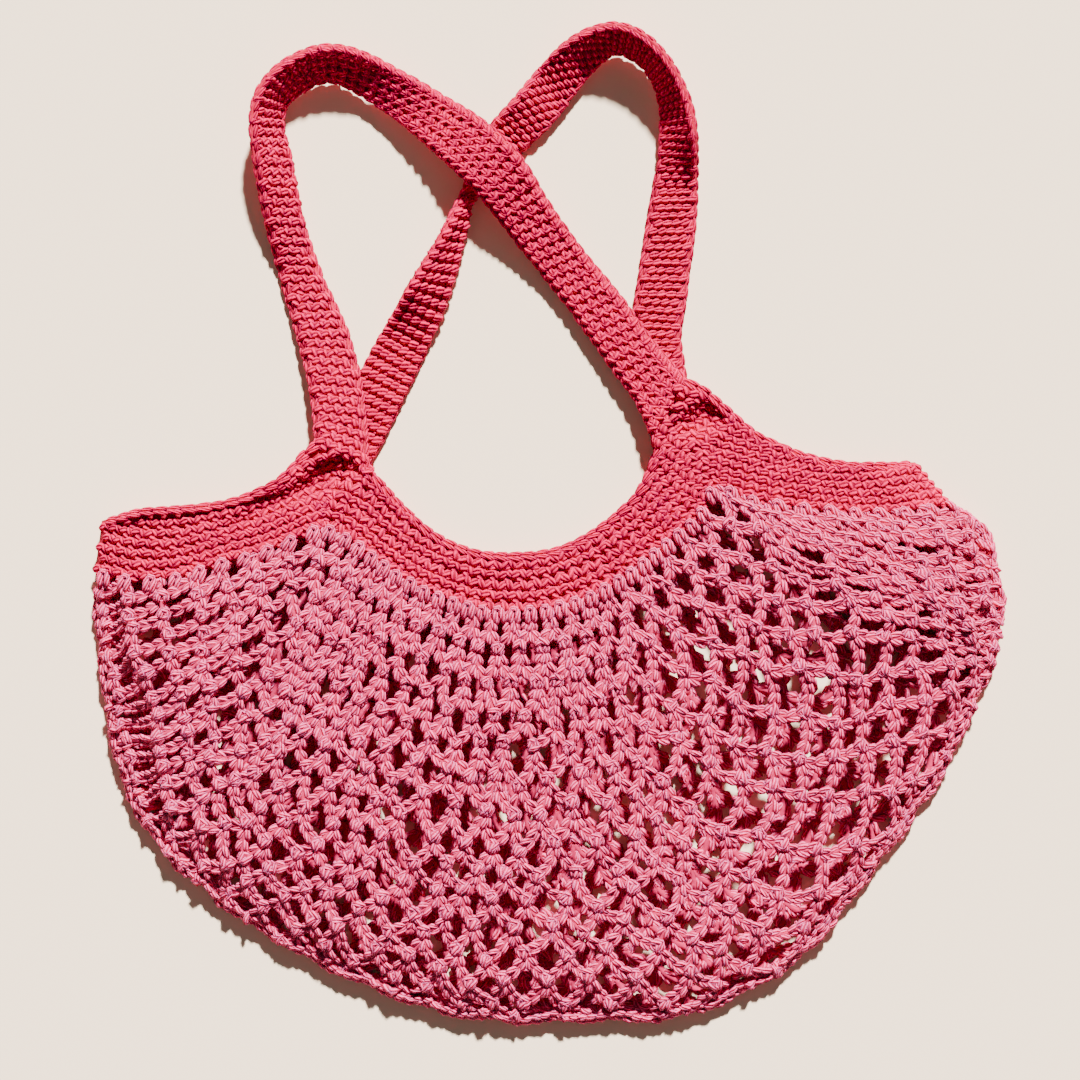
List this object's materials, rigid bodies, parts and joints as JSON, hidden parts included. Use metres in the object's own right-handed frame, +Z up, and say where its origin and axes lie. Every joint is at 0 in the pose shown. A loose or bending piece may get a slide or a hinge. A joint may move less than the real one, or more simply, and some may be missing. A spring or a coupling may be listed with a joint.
{
  "type": "mesh market bag",
  "caption": "Crocheted mesh market bag lying flat: a round openwork net pouch, a close crocheted rim band and shoulder straps looped up and crossed past the mouth.",
  "frame": {"origin": "under the middle of the whole bag, on the surface it lies on", "axes": "+X to the right side as seen from above, +Y from the bag's bottom to its straps, +Z up"},
  "size_m": [0.4542, 0.4976, 0.028],
  "materials": {
    "pink_yarn": "matte twisted cotton yarn",
    "coral_yarn": "matte twisted cotton yarn"
  },
  "bodies": {
    "root": {"net_body": "pink_yarn", "rim_band": "coral_yarn", "front_strap": "coral_yarn", "back_strap": "coral_yarn"}
  },
  "joints": []
}
